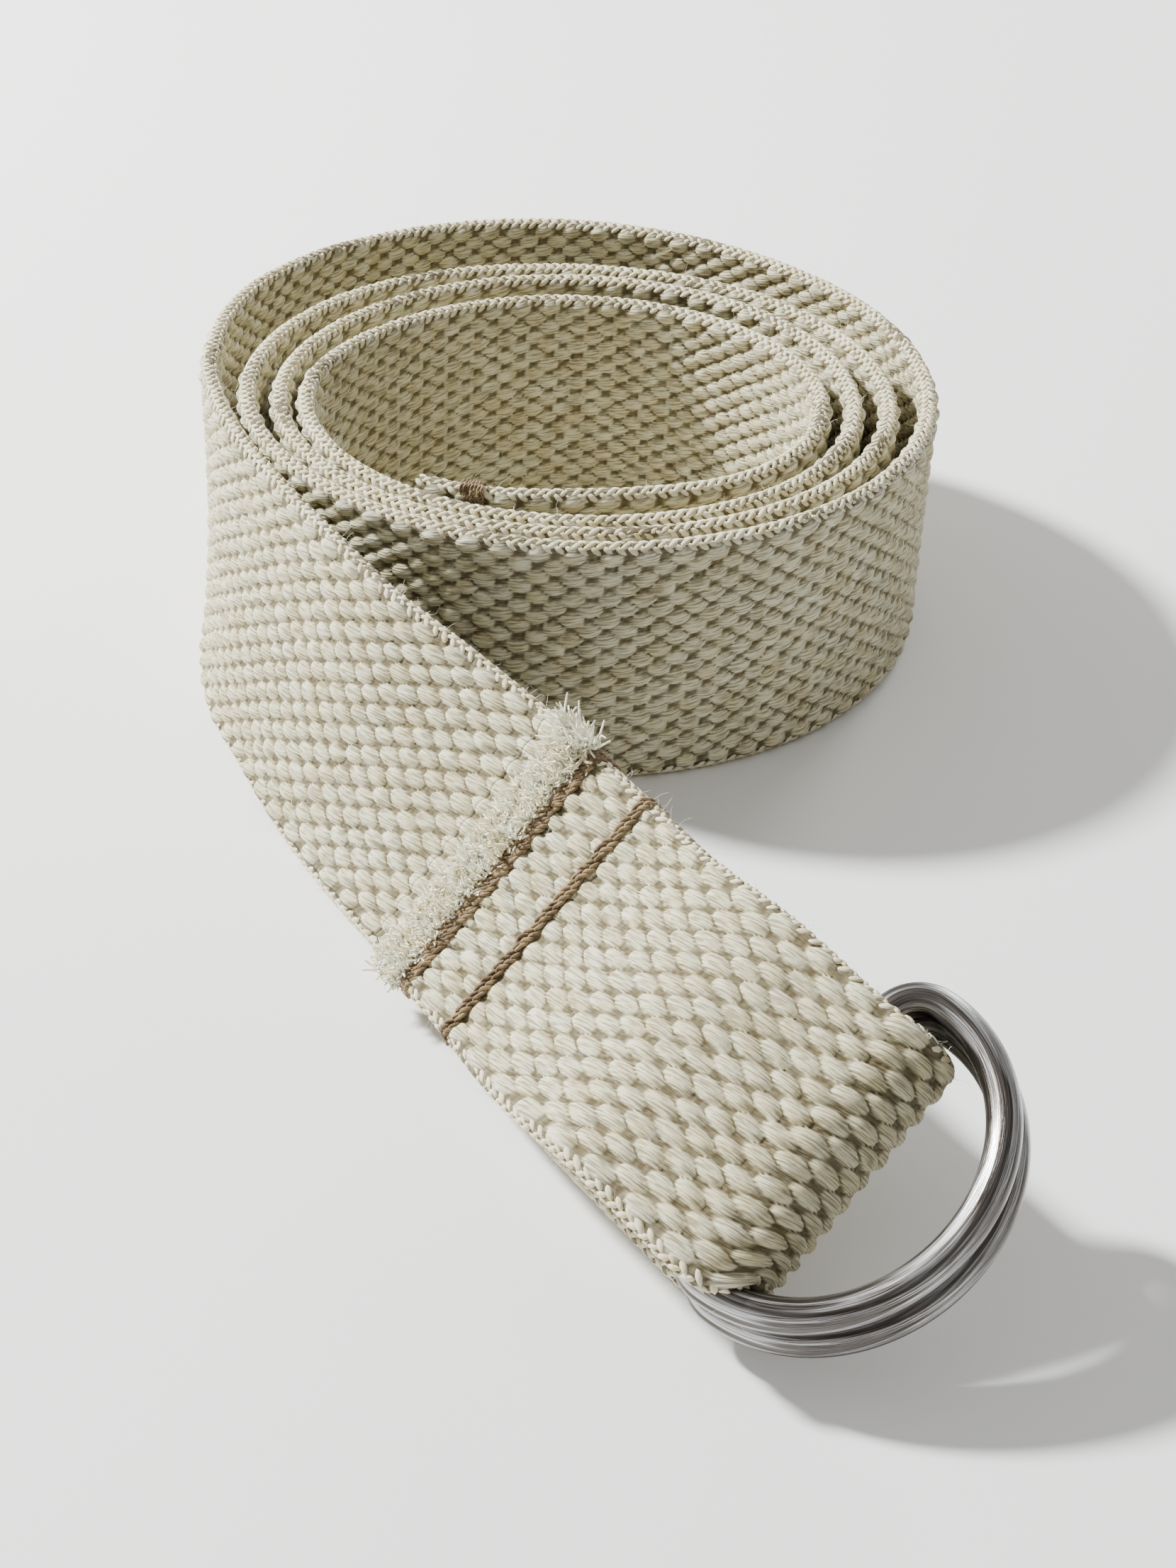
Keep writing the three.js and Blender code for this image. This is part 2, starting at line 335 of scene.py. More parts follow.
def section(face_samples, rim_samples):
    """The ring of points round the core: across, out, their normals, and the column place."""
    columns = np.arange(COLUMNS)
    on_rim = columns % SIDE_COLUMNS >= FACE_COLUMNS
    counts = np.where(on_rim, rim_samples, face_samples)
    q = np.concatenate([c + (np.arange(n) + 0.5) / n for c, n in zip(columns, counts)])
    # The ring starts at the middle of an edge, so that the two faces' points pair up.
    q = np.roll(q, -(face_samples * FACE_COLUMNS + rim_samples * EDGE_COLUMNS // 2))
    side = np.where(q < SIDE_COLUMNS, 1.0, -1.0)
    p = q % SIDE_COLUMNS
    flat = p < FACE_COLUMNS
    turn = np.where(flat, 0, (p - FACE_COLUMNS) / EDGE_COLUMNS * math.pi)
    v = np.where(flat, -FLAT_HALF + p * COLUMN_WIDTH, FLAT_HALF + RIM_CORE * np.sin(turn))
    core = CORE + (RIM_CORE - CORE) * smoothstep(np.abs(v), FLAT_HALF - RIM_BLEND, FLAT_HALF)
    return side * v, side * core * np.cos(turn), side * np.sin(turn), side * np.cos(turn), q


def weave_periods(distance):
    """The weave's periods from the tail to each distance: they get longer along the lead."""
    places = np.linspace(0, STRAP_END, 5000)
    first, last = DRAWN_OUT_OVER
    drawn_out = DRAWN_OUT * smoothstep(places, LEAD_START + first, LEAD_START + last)
    steps = np.diff(places) / (PERIOD * (1 + drawn_out[1:]))
    return np.interp(distance, places, np.concatenate([[0], np.cumsum(steps)]))


def weave_height(distance, q):
    """How far the yarns stand out of the core, and how far each place is from a crease, 0 to 1, for
    the painted crease shade.
    """
    base = np.floor(q).astype(int)
    periods = weave_periods(distance)[:, None]
    first = np.zeros((len(distance), len(q)))
    second = np.zeros_like(first)
    half_l, half_w, tall = FLOAT
    for step in (-1, 0, 1):
        column = (base + step) % COLUMNS
        # Neighbouring columns, and a column's two faces, float in turn.
        place = periods - 0.5 * ((column + (column >= SIDE_COLUMNS)) % 2)
        which = np.round(place).astype(int)
        jitter = JITTER[column, which % JITTER.shape[1]]
        across = (q - (base + step + 0.5)) * COLUMN_WIDTH + STRAY[1] * jitter[..., 1]
        along = (place - which) * PERIOD + STRAY[0] * jitter[..., 0] - FLOAT_LEAN * across
        size = 1 + STRAY[2] * jitter[..., 2]
        inside = 1 - (along / (half_l * size)) ** 2 - (across / (half_w * size)) ** 2
        crown = tall * (1 + STRAY[3] * jitter[..., 3]) * np.maximum(inside, 0) ** CROWN_POWER
        crown = np.where(column % SIDE_COLUMNS < FACE_COLUMNS, crown, 0)
        second = np.maximum(second, np.minimum(first, crown))
        first = np.maximum(first, crown)
    weft = np.abs(((2 * periods - 0.5) % 1 - 0.5) * PICK) - WEFT_APART
    ridge = WEFT[1] * np.sqrt(np.maximum(0, 1 - (weft / WEFT[0]) ** 2))
    apart = np.clip((first - np.maximum(second, ridge)) / CREASE_CLEAR, 0, 1)
    height = np.maximum(first, ridge) - CREASE_DEPTH * (1 - apart) ** 2 * (first > ridge)
    return height, np.maximum(apart, WEFT_SHARE * ridge / WEFT[1] * (first < ridge))


def pressed(distance, v):
    """How much of the relief the stitch rows leave, along the strap and across it."""
    left = np.ones((len(distance), len(v)))
    lean = ROW_LEAN[0] + ROW_LEAN[1] * v
    rows = [TAIL_STITCH_AT + 0 * v]
    for at in STITCH_ROWS_AT:
        rows += [LEAD_START + at + lean, OVER_START + FOLD_AT - at - lean]
    for row in rows:
        left -= ROW_PRESS * np.exp(-(((distance[:, None] - row) / ROW_PRESS_WIDTH) ** 2))
    return left


def webbing_points(distance, face_samples, rim_samples):
    """The points round a stretch of webbing, in mm, with their weave coordinates."""
    v, n, nv, nn, q = section(face_samples, rim_samples)
    height, share = weave_height(distance, q)
    height = height * pressed(distance, v)
    centre, across, out = band_frames(distance)
    wander = sum(high * np.sin(distance / long + phase) for high, long, phase in WANDER)
    edge = v / (STRAP_WIDTH / 2)
    side = v + nv * height + wander[:, None] * edge
    side = side + edge_pull(distance)[:, None] * np.clip(-edge, 0, None) ** 2
    rise = n + nn * height
    points = centre[:, None] + across[:, None] * side[..., None] + out[:, None] * rise[..., None]
    coords = np.stack(np.broadcast_arrays(distance[:, None] * MM, q[None], share), -1)
    return points, coords


def cap_faces(first, ring):
    """Quads that close a row of points: each is joined to the one on the other face."""
    i = np.arange(ring // 2 - 1)
    other = ring - 1 - i
    return np.stack([first + i, first + i + 1, first + other - 1, first + other], -1)


def webbing(name, start, end, rows_per_period, face_samples, rim_samples, material):
    """One closed stretch of webbing between two distances from the tail."""
    rows = int((end - start) / PERIOD * rows_per_period) + 1
    distance = np.linspace(start, end, rows)
    points, coords = webbing_points(distance, face_samples, rim_samples)
    ring = points.shape[1]
    sides = tube_faces(rows, ring)
    caps = [cap_faces(0, ring), cap_faces((rows - 1) * ring, ring)[:, ::-1]]
    obj = mesh_object(name, placed(points.reshape(-1, 3)), np.vstack([sides] + caps), material)
    flat = np.zeros(len(obj.data.polygons), bool)
    flat[len(sides):] = True
    obj.data.attributes.new("sharp_face", "BOOLEAN", "FACE").data.foreach_set("value", flat)
    vector_attribute(obj, "weave", coords.reshape(-1, 3))
    return obj


# ---------------------------------------------------------------- fibres and threads
GUIDE = np.array([0.31, 0.17, 0.93])  # no thread runs along it
TUBE_TIP = 0.02  # of its radius
# One ply of a yarn: its middle's distance from the yarn's, and its radius, as shares.
PLY_OUT = 0.5
PLY_RADIUS = 0.58
PLY_SIDES = 6
FIBRE_POINTS = 5
FIBRE_SIDES = 3
FIBRE_TAPER = 0.6  # of its radius
FIBRE_KINK = 0.35  # of its curl
HAIR_RADIUS = 0.028
HAIR_CURL = 0.6
HAIR_LENGTH = (0.7, 2.1)
HAIRS_ON_EDGES = 0.7  # the share of them
PILE_FIBRES = 7000
PILE_RADIUS = 0.3
PILE_CURL = 0.45
PILE_LENGTH = (0.9, 1.9)
# A loose tuft stands up at the end on the +across side.
TUFT_FROM = 14.5
TUFT_FULL = 18.5
TUFT_LONGER = 0.9


def square_to(line):
    """Two directions at each point of a line, square to it and to each other."""
    along = unit(np.gradient(line, axis=0))
    n = unit(GUIDE - along * (along @ GUIDE)[:, None])
    return n, np.cross(along, n)


def tube(points, radius, sides):
    """The points and faces of a tube along a line of points, closed at its ends."""
    n, b = square_to(points)
    turn = np.arange(sides) / sides * 2 * math.pi
    r = np.full(len(points), float(radius))
    r[[0, -1]] = TUBE_TIP * radius
    round_it = n[:, None] * np.cos(turn)[:, None] - b[:, None] * np.sin(turn)[:, None]
    return points[:, None] + round_it * r[:, None, None], tube_faces(len(points), sides)


def joined(tubes):
    """Several tubes' points and faces as one pair."""
    points, faces, first = [], [], 0
    for p, f in tubes:
        points.append(p.reshape(-1, 3))
        faces.append(f + first)
        first += len(points[-1])
    return np.vstack(points), np.vstack(faces)


def yarn(line, radius, pitch):
    """Two plies twisted together along a line of points."""
    n, b = square_to(line)
    plies = []
    for start in (0, math.pi):
        turn = (2 * math.pi * lengths_along(line) / pitch + start)[:, None]
        ply = line + radius * PLY_OUT * (n * np.cos(turn) + b * np.sin(turn))
        plies.append(tube(ply, radius * PLY_RADIUS, PLY_SIDES))
    return plies


def fibres(name, roots, ways, lengths, radius, curl, material, seed):
    """Many short curling fibres as one mesh, from root points in mm and unit directions."""
    dice = np.random.default_rng(seed)
    count = len(roots)
    t = np.linspace(0, 1, FIBRE_POINTS)[None, :, None]
    bend = unit(dice.normal(size=(count, 3)))[:, None]
    kink = unit(dice.normal(size=(count, 3)))[:, None]
    size = lengths[:, None, None]
    line = roots[:, None] + ways[:, None] * t * size
    waves = np.sin(t * dice.uniform(3, 8, (count, 1, 1)))
    line = line + curl * size * (bend * t**2 + FIBRE_KINK * kink * waves)
    # None reaches through the table.
    line = line[(line[..., 2] + OFFSET[2]).min(axis=1) > radius]
    count = len(line)
    along = unit(np.gradient(line, axis=1))
    n = unit(np.cross(along, unit(dice.normal(size=(count, 1, 3)))))
    b = np.cross(along, n)
    turn = (np.arange(FIBRE_SIDES) / FIBRE_SIDES * 2 * math.pi)[:, None]
    taper = radius * (1 - FIBRE_TAPER * t)[..., None]
    ring = n[:, :, None] * np.cos(turn) + b[:, :, None] * np.sin(turn)
    points = line[:, :, None] + ring * taper
    first = np.arange(count) * FIBRE_POINTS * FIBRE_SIDES
    faces = tube_faces(FIBRE_POINTS, FIBRE_SIDES)[None] + first[:, None, None]
    obj = mesh_object(name, placed(points.reshape(-1, 3)), faces.reshape(-1, 4), material)
    return obj


def thread_object(name, tubes, node, body, material):
    points, faces = joined(tubes)
    obj = mesh_object(name, placed(points), faces, material)
    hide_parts(node)
    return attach(obj, body)


def edge_hairs(name, start, end, per_mm, material, seed):
    """Fine hairs standing off the two edges and, thinner, off the faces."""
    dice = np.random.default_rng(seed)
    count = int((end - start) * per_mm)
    distance = np.sort(dice.uniform(start, end, count))
    centre, across, out = band_frames(distance)
    turn = dice.uniform(0, 2 * math.pi, count)[:, None]
    on_edge = dice.random((count, 1)) < HAIRS_ON_EDGES
    edge = np.sign(np.cos(turn)) * np.where(on_edge, 1, dice.random((count, 1)))
    roots = centre + across * edge * (STRAP_WIDTH / 2 - 0.7) + out * np.sin(turn) * 0.9
    ways = across * np.cos(turn) + out * np.sin(turn) * 0.8
    ways = unit(ways + dice.normal(0, 0.5, (count, 3)))
    lengths = dice.uniform(*HAIR_LENGTH, count)
    return fibres(name, roots, ways, lengths, HAIR_RADIUS, HAIR_CURL, material, seed + 1)


def rounded_octahedron():
    """The points of a sphere of 32 triangles, and its faces."""
    points = [(0, 0, 1), (0, 0, -1)]
    points += [(math.cos(a), math.sin(a), 0) for a in np.arange(4) * math.pi / 2]
    faces = []
    for k in range(4):
        a, b = 2 + k, 2 + (k + 1) % 4
        for corners in ((0, a, b), (1, b, a)):
            middles = []
            for m, n in zip(corners, corners[1:] + corners[:1]):
                middle = tuple(unit(np.array(points[m]) + np.array(points[n])).round(9))
                if middle not in points:
                    points.append(middle)
                middles.append(points.index(middle))
            p, q, r = corners
            x, y, z = middles
            faces += [(p, x, z), (x, q, y), (z, y, r), (x, y, z)]
    return np.array(points, float), np.array(faces)


def edge_stitches(name, start, end, edges, material):
    """The short slanting stitches that cover the strap's edges, as a chain of grains."""
    dice = np.random.default_rng(31)
    sphere, faces = rounded_octahedron()
    grains = []
    for edge in edges:
        for row, turn in enumerate(EDGE_STITCH_TURNS):
            distance = np.arange(start + (0.25 + 0.5 * (row % 2)) * RIM_PITCH, end, RIM_PITCH)
            distance = distance + dice.normal(0, 0.06, len(distance))
            turn = np.radians(turn) + dice.normal(0, 0.05, len(distance))
            centre, across, out = band_frames(distance)
            along = np.cross(across, out)
            away = (across * edge) * np.sin(turn)[:, None] + out * np.cos(turn)[:, None]
            round_it = (across * edge) * np.cos(turn)[:, None] - out * np.sin(turn)[:, None]
            slant = math.radians(EDGE_STITCH_SLANT) * (1 if row % 2 else -1)
            length = unit(along * math.cos(slant) + round_it * math.sin(slant))
            width = np.cross(away, length)
            v = edge * FLAT_HALF + (edge_pull(distance) if edge < 0 else 0)
            middle = centre + across * np.reshape(v + 0 * distance, (-1, 1)) + away * RIM_CORE
            size = 1 + dice.normal(0, 0.07, (len(distance), 1, 1))
            sizes = zip((length, width, away), EDGE_STITCH)
            axes = np.stack([axis * half for axis, half in sizes], 1)
            grains.append(middle[:, None] + size * (sphere @ axes))
    points = np.concatenate(grains)
    first = (np.arange(len(points)) * len(sphere))[:, None, None]
    faces = (faces[None] + first).reshape(-1, 3)
    obj = mesh_object(name, placed(points.reshape(-1, 3)), faces, material)
    return obj


def raw_end_pile(material):
    """The cut end's yarns, opened into a thick fluffy ridge."""
    dice = np.random.default_rng(5)
    count = PILE_FIBRES
    v = dice.uniform(-STRAP_WIDTH / 2 - 0.5, STRAP_WIDTH / 2 + 0.5, count)
    at = PILE_FROM + (PILE_TO - PILE_FROM) * dice.random(count)
    at = at + ROW_LEAN[0] + ROW_LEAN[1] * v
    centre, across, out = band_frames(OVER_START + FOLD_AT - at)
    out = -out
    along = np.cross(out, across)
    lump = 0.35 * np.sin(v * 2.1) + 0.25 * np.sin(v * 5.3 + at)
    roots = centre + across * v[:, None] + out * (0.8 + 0.5 * lump)[:, None]
    ways = out + along * dice.normal(0.2, 0.5, (count, 1))
    ways = unit(ways + dice.normal(0, 0.45, (count, 3)))
    lengths = dice.uniform(*PILE_LENGTH, count) * (1 + 0.4 * lump)
    lengths = lengths * (1 + TUFT_LONGER * smoothstep(v, TUFT_FROM, TUFT_FULL))
    return fibres("raw_end_pile", roots, ways, lengths, PILE_RADIUS, PILE_CURL, material, 6)


# ---------------------------------------------------------------- stitch rows
STITCH = 3.6  # one stitch's length
ROW_POINTS = 260
THREAD_LIFT = 1.2  # above the webbing's middle
THREAD_WAVE = 0.16  # how far each stitch rises and dips
# Where each row's strands lie, from the row's middle.
ROW_STRANDS = ([-1.05, -0.5, 0.05, 0.6, 1.05], [-0.42, 0.42])
ROW_YARN = (0.46, 2.3)  # radius and pitch of the twist
WRAP_STRANDS = 7
WRAP_LONG = (2, 4)  # the strands that run right down the face
WRAP_APART = 0.48
WRAP_POINTS = 120
WRAP_YARN = (0.27, 1.5)
# Which edge of the tail is the upper one: 1 where across points up.
TOP_SIDE = float(np.sign(frames_at(np.array([TAIL_STITCH_AT]))[1][0, 2]))


def row_line(at, offset, seed, turned_over):
    """The line of one strand of a row across the loop, over one face and round the edges."""
    dice = np.random.default_rng(seed)
    v = np.linspace(-STRAP_WIDTH / 2 - 0.2, STRAP_WIDTH / 2 + 0.2, ROW_POINTS)
    place = at + offset + ROW_LEAN[0] + ROW_LEAN[1] * v
    place = place + 0.14 * np.sin(2 * math.pi * v / STITCH + seed)
    place = place + 0.1 * np.sin(v * 1.3 + dice.uniform(0, 6))
    edge = smoothstep(np.abs(v), STRAP_WIDTH / 2 - 1.2, STRAP_WIDTH / 2 + 0.2)
    lift = THREAD_LIFT + THREAD_WAVE * np.cos(2 * math.pi * v / STITCH + seed)
    lift = lift - (LAYERS_CLOSED / 2 + 0.4) * edge**2
    if turned_over:
        centre, across, out = frames_at(LEAD_START + place)
        return centre + across * v[:, None] - out * lift[:, None]
    centre, across = over_frames(place)
    _, _, out = frames_at(LEAD_START + place)
    return centre + across * v[:, None] + out * lift[:, None]


def stitch_rows(material):
    """Both rows of the loop: a needle thread above and a bobbin thread below."""
    made = []
    for row, (at, offsets) in enumerate(zip(STITCH_ROWS_AT, ROW_STRANDS), 1):
        for side, under in (("over", False), ("under", True)):
            lines = [row_line(at, o, 3 * row + k, under) for k, o in enumerate(offsets)]
            tubes = sum((yarn(line, *ROW_YARN) for line in lines), [])
            name = f"thread_row_{row}_{side}"
            node = f"loop_thread_{row}_{side}"
            made.append(thread_object(name, tubes, node, "loop_end", material))
    return made


def tail_wrap(material):
    """The tail's stitch row, on each face, with its strands wrapped over the upper edge."""
    made = []
    for side, sign in (("outer", 1), ("inner", -1)):
        tubes = []
        for k in range(WRAP_STRANDS):
            at = TAIL_STITCH_AT + (k - (WRAP_STRANDS - 1) / 2) * WRAP_APART
            t = np.linspace(0, 1, WRAP_POINTS)
            down = t * (STRAP_WIDTH if k in WRAP_LONG else 5.0 + (k % 3))
            # Over the edge on a round, and then down the face.
            turn = np.clip(1 - t * 14, 0, 1) * math.pi / 2
            v = STRAP_WIDTH / 2 - np.maximum(down - 1.0, 0) - 0.6 + 0.9 * np.sin(turn)
            rise = 1.22 * np.cos(turn) + 0.12 * np.cos(2 * math.pi * down / STITCH + k)
            place = at + 0.2 * np.sin(down * 1.1 + k) * smoothstep(down, 0, 4)
            centre, across, out = band_frames(place)
            v = np.maximum(v, -STRAP_WIDTH / 2)
            line = centre + across * (v * TOP_SIDE)[:, None] + out * (rise * sign)[:, None]
            tubes += yarn(line, *WRAP_YARN)
        node = f"tail_thread_{side}"
        made.append(thread_object(f"tail_wrap_{side}", tubes, node, "coil", material))
    return made


# ---------------------------------------------------------------- rings
RING_BUTT_GAP = 0.3  # the wire's two ends meet in the middle of the bar
RING_END = 0.97  # of the wire's radius: its ends are eased
RING_SIDES = 40
BAR_POINTS = 30
CORNER_POINTS = 14
BOW_POINTS = 90


def d_outline():
    """Points along a D, in its own plane, from the bar's middle and back to it."""
    straight = RING_HALF_WIDTH - RING_CORNER
    bar = np.linspace(RING_BUTT_GAP / 2, straight, BAR_POINTS)
    bar = np.stack([np.zeros(BAR_POINTS), bar], -1)
    turn = np.linspace(0, math.pi / 2, CORNER_POINTS)[1:, None]
    corner = np.hstack([RING_CORNER - RING_CORNER * np.cos(turn),
                        straight + RING_CORNER * np.sin(turn)])
    turn = np.linspace(math.pi / 2, 0, BOW_POINTS)[1:, None]
    bow = np.hstack([RING_CORNER + (RING_DEPTH - RING_CORNER) * np.cos(turn),
                     RING_HALF_WIDTH * np.sin(turn)])
    half = np.vstack([bar, corner, bow])
    return np.vstack([half, half[-2::-1] * [1, -1]])


def d_ring(name, node, body, bar, material):
    """One D-ring of round wire, with its bar's middle at bar."""
    line = bar + d_outline() @ RING_TURN.T[:2]
    along = unit(np.gradient(line, axis=0))
    up = RING_TURN[:, 2]
    inward = np.cross(up, along)
    sides = RING_SIDES
    turn = np.arange(sides) / sides * 2 * math.pi
    ring = inward[:, None] * np.cos(turn)[:, None] + up * np.sin(turn)[:, None]
    radius = np.full(len(line), WIRE_RADIUS)
    radius[[0, -1]] = WIRE_RADIUS * RING_END
    points = line[:, None] + ring * radius[:, None, None]
    ends = [line[:1, None].repeat(sides, 1), line[-1:, None].repeat(sides, 1)]
    points = np.concatenate([ends[0], points, ends[1]])
    faces = tube_faces(len(points), sides)
    obj = mesh_object(name, placed(points.reshape(-1, 3)), faces, material)
    s = lengths_along(line)
    s = np.concatenate([s[:1], s, s[-1:]])
    around = np.stack([np.cos(turn), np.sin(turn)], -1)
    coords = np.concatenate([np.repeat(s[:, None, None], sides, 1),
                             np.repeat(around[None], len(s), 0)], -1)
    vector_attribute(obj, "wire", coords.reshape(-1, 3))
    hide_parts(node)
    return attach(obj, body)


# ---------------------------------------------------------------- materials
def srgb(r, g, b):
    return tuple((c / 255 / 12.92 if c / 255 <= 0.04045 else ((c / 255 + 0.055) / 1.055) ** 2.4)
                 for c in (r, g, b)) + (1,)


class Nodes:
    """A short way to write a material's nodes."""

    def __init__(self, name, roughness):
        self.material = bpy.data.materials.new(name)
        self.material.use_nodes = True
        self.tree = self.material.node_tree
        self.shader = self.tree.nodes["Principled BSDF"]
        self.set("Roughness", roughness)

    def add(self, kind, **settings):
        node = self.tree.nodes.new("ShaderNode" + kind)
        for key, value in settings.items():
            setattr(node, key, value)
        return node

    def link(self, source, target):
        self.tree.links.new(source, target)

    def feed(self, socket, value):
        if isinstance(value, bpy.types.NodeSocket):
            self.link(value, socket)
        else:
            socket.default_value = value

    def set(self, name, value):
        """Feed one of the shader's inputs a value or a socket."""
        self.feed(self.shader.inputs[name], value)

    def math(self, operation, a, b=0.0):
        node = self.add("Math", operation=operation)
        self.feed(node.inputs[0], a)
        self.feed(node.inputs[1], b)
        return node.outputs[0]

    def ramp(self, value, low, high):
        node = self.add("MapRange", interpolation_type="SMOOTHSTEP")
        self.link(value, node.inputs["Value"])
        node.inputs["From Min"].default_value = low
        node.inputs["From Max"].default_value = high
        return node.outputs[0]

    def times(self, factor, a):
        return self.math("MULTIPLY", a, factor)

    def mix(self, factor, a, b):
        node = self.add("Mix", data_type="RGBA")
        self.feed(node.inputs[0], factor)
        self.feed(node.inputs[6], a)
        self.feed(node.inputs[7], b)
        return node.outputs[2]

    def noise(self, scale, detail, vector=None):
        node = self.add("TexNoise")
        node.inputs["Scale"].default_value = scale
        node.inputs["Detail"].default_value = detail
        if vector is not None:
            self.link(vector, node.inputs["Vector"])
        return node.outputs[0]

    def attribute(self, name):
        node = self.add("Attribute", attribute_name=name)
        split = self.add("SeparateXYZ")
        self.link(node.outputs["Vector"], split.inputs[0])
        return split.outputs

    def vector(self, x, y, z):
        node = self.add("CombineXYZ")
        for socket, value in zip(node.inputs, (x, y, z)):
            self.feed(socket, value)
        return node.outputs[0]

    def bump(self, height, distance, strength):
        node = self.add("Bump")
        node.inputs["Strength"].default_value = strength
        node.inputs["Distance"].default_value = distance
        self.link(height, node.inputs["Height"])
        self.set("Normal", node.outputs[0])


CREAM = srgb(235, 231, 201)
WARM = srgb(219, 208, 168)
# Painted highlight: the rims are kept an even light cream.
RIM_HIGHLIGHT_CREAM = srgb(233, 227, 201)
# Painted shade, put into the creases and the grooves between fibres.
PAINTED_CREASE_SHADE = srgb(88, 76, 49)
SEED_SPECK = srgb(58, 44, 30)
FLUFF = (srgb(255, 254, 238), srgb(255, 247, 218))
EDGE_COTTON = (srgb(231, 224, 197), srgb(210, 199, 161))
THREAD_BROWN = (srgb(156, 134, 102), srgb(90, 72, 50))
THREAD_PALE = srgb(166, 147, 114)
# The drawn lines' dark and light: partly the wire's own lines, partly painted reflection.
STEEL_LINES_AND_REFLECTION = (srgb(98, 92, 86), srgb(206, 206, 208))
# Painted reflection: dark bands along the wire.
STEEL_REFLECTION_BAND = srgb(60, 52, 46)
STEEL_STAIN = srgb(112, 104, 98)


def cotton():
    """Undyed cotton: two creams, fibre lines with painted shade in their grooves, creases darkened
    with painted shade, and a few seed specks.
    """
    m = Nodes("cotton webbing", 0.86)
    distance, q, share = m.attribute("weave")
    place = m.add("TexCoord").outputs["Object"]
    # The fibres of a yarn run along it, turned a little by its twist.
    across = m.times(COLUMN_WIDTH, q)
    twist = m.math("SUBTRACT", across, m.times(160.0, distance))
    lines = m.vector(m.times(4.2, twist), m.times(330.0, distance), 0.0)
    fibre = m.noise(1.0, 3.0, lines)
    patch = m.noise(330.0, 1.0, place)
    broad = m.noise(38.0, 2.0, place)
    colour = m.mix(m.ramp(patch, 0.3, 0.75), CREAM, WARM)
    colour = m.mix(m.times(0.35, m.ramp(broad, 0.35, 0.7)), colour, WARM)
    column = m.math("MODULO", q, float(SIDE_COLUMNS))
    from_rim = m.math("ABSOLUTE", m.math("SUBTRACT", column, FACE_COLUMNS + EDGE_COLUMNS / 2))
    # Painted highlight: the rims are kept an even light cream.
    colour = m.mix(m.ramp(from_rim, 1.6, 0.9), colour, RIM_HIGHLIGHT_CREAM)
    # Fibre lines: the fibres' pattern, with painted shade in the grooves between them.
    colour = m.mix(m.times(0.62, m.ramp(fibre, 0.56, 0.38)), colour, PAINTED_CREASE_SHADE)
    # Painted shade in the creases between yarns, where the crease share is low.
    colour = m.mix(m.times(0.94, m.ramp(share, 0.9, 0.08)), colour, PAINTED_CREASE_SHADE)
    speck = m.add("TexVoronoi")
    speck.inputs["Scale"].default_value = 150.0
    m.link(place, speck.inputs["Vector"])
    rare = m.math("LESS_THAN", m.noise(95.0, 0.0, place), 0.27)
    dot = m.math("MULTIPLY", m.math("LESS_THAN", speck.outputs["Distance"], 0.03), rare)
    m.set("Base Color", m.mix(dot, colour, SEED_SPECK))
    m.set("Sheen Weight", 0.05)
    m.set("Specular IOR Level", 0.25)
    m.bump(m.math("ADD", fibre, m.times(0.3, patch)), 0.0004, 1.0)
    return m.material


def fluff(name, colours):
    m = Nodes(name, 0.9)
    place = m.add("TexCoord").outputs["Object"]
    m.set("Base Color", m.mix(m.ramp(m.noise(420.0, 2.0, place), 0.35, 0.7), *colours))
    m.set("Specular IOR Level", 0.2)
    m.bump(m.noise(2500.0, 1.0, place), 0.0001, 0.4)
    return m.material


def thread():
    m = Nodes("brown sewing thread", 0.7)
    place = m.add("TexCoord").outputs["Object"]
    colour = m.mix(m.ramp(m.noise(700.0, 3.0, place), 0.3, 0.7), *THREAD_BROWN)
    pale = m.times(0.45, m.ramp(m.noise(60.0, 1.0, place), 0.4, 0.65))
    m.set("Base Color", m.mix(pale, colour, THREAD_PALE))
    m.set("Specular IOR Level", 0.3)
    m.bump(m.noise(3800.0, 2.0, place), 0.00012, 0.8)
    return m.material


def steel():
    """Bright wire with fine lines drawn along it, their light and dark streaks partly painted
    reflection, darker bands of painted reflection, and a few stains.
    """
    m = Nodes("drawn steel wire", 0.3)
    s, c, n = m.attribute("wire")

    def streaks(scale, detail, along, around):
        way = m.vector(m.times(along, s), m.times(around, c), m.times(around, n))
        return m.noise(scale, detail, way)

    drawn = streaks(3.0, 4.0, 0.05, 7.0)
    stain = m.noise(260.0, 4.0, m.add("TexCoord").outputs["Object"])
    reflection_band = streaks(1.6, 1.0, 0.03, 1.5)
    # The drawn lines' colour: partly the wire's own lines, partly painted reflection streaks.
    colour = m.mix(m.ramp(drawn, 0.36, 0.6), *STEEL_LINES_AND_REFLECTION)
    # Painted reflection: dark bands along the wire.
    colour = m.mix(m.times(0.85, m.ramp(reflection_band, 0.45, 0.56)), colour, STEEL_REFLECTION_BAND)
    colour = m.mix(m.times(0.35, m.ramp(stain, 0.5, 0.75)), colour, STEEL_STAIN)
    m.set("Base Color", colour)
    rough = m.add("MapRange")
    m.link(drawn, rough.inputs["Value"])
    rough.inputs["To Min"].default_value = 0.2
    rough.inputs["To Max"].default_value = 0.42
    m.set("Roughness", rough.outputs[0])
    m.set("Metallic", 1.0)
    m.bump(drawn, 0.0001, 0.5)
    return m.material


def plain(name, colour):
    m = Nodes(name, 0.9)
    m.set("Base Color", colour)
    return m.material


# ---------------------------------------------------------------- camera, floor and light
CAMERA_AT = (-31.913, -342.041, 198.975)  # in mm, in the coil's frame
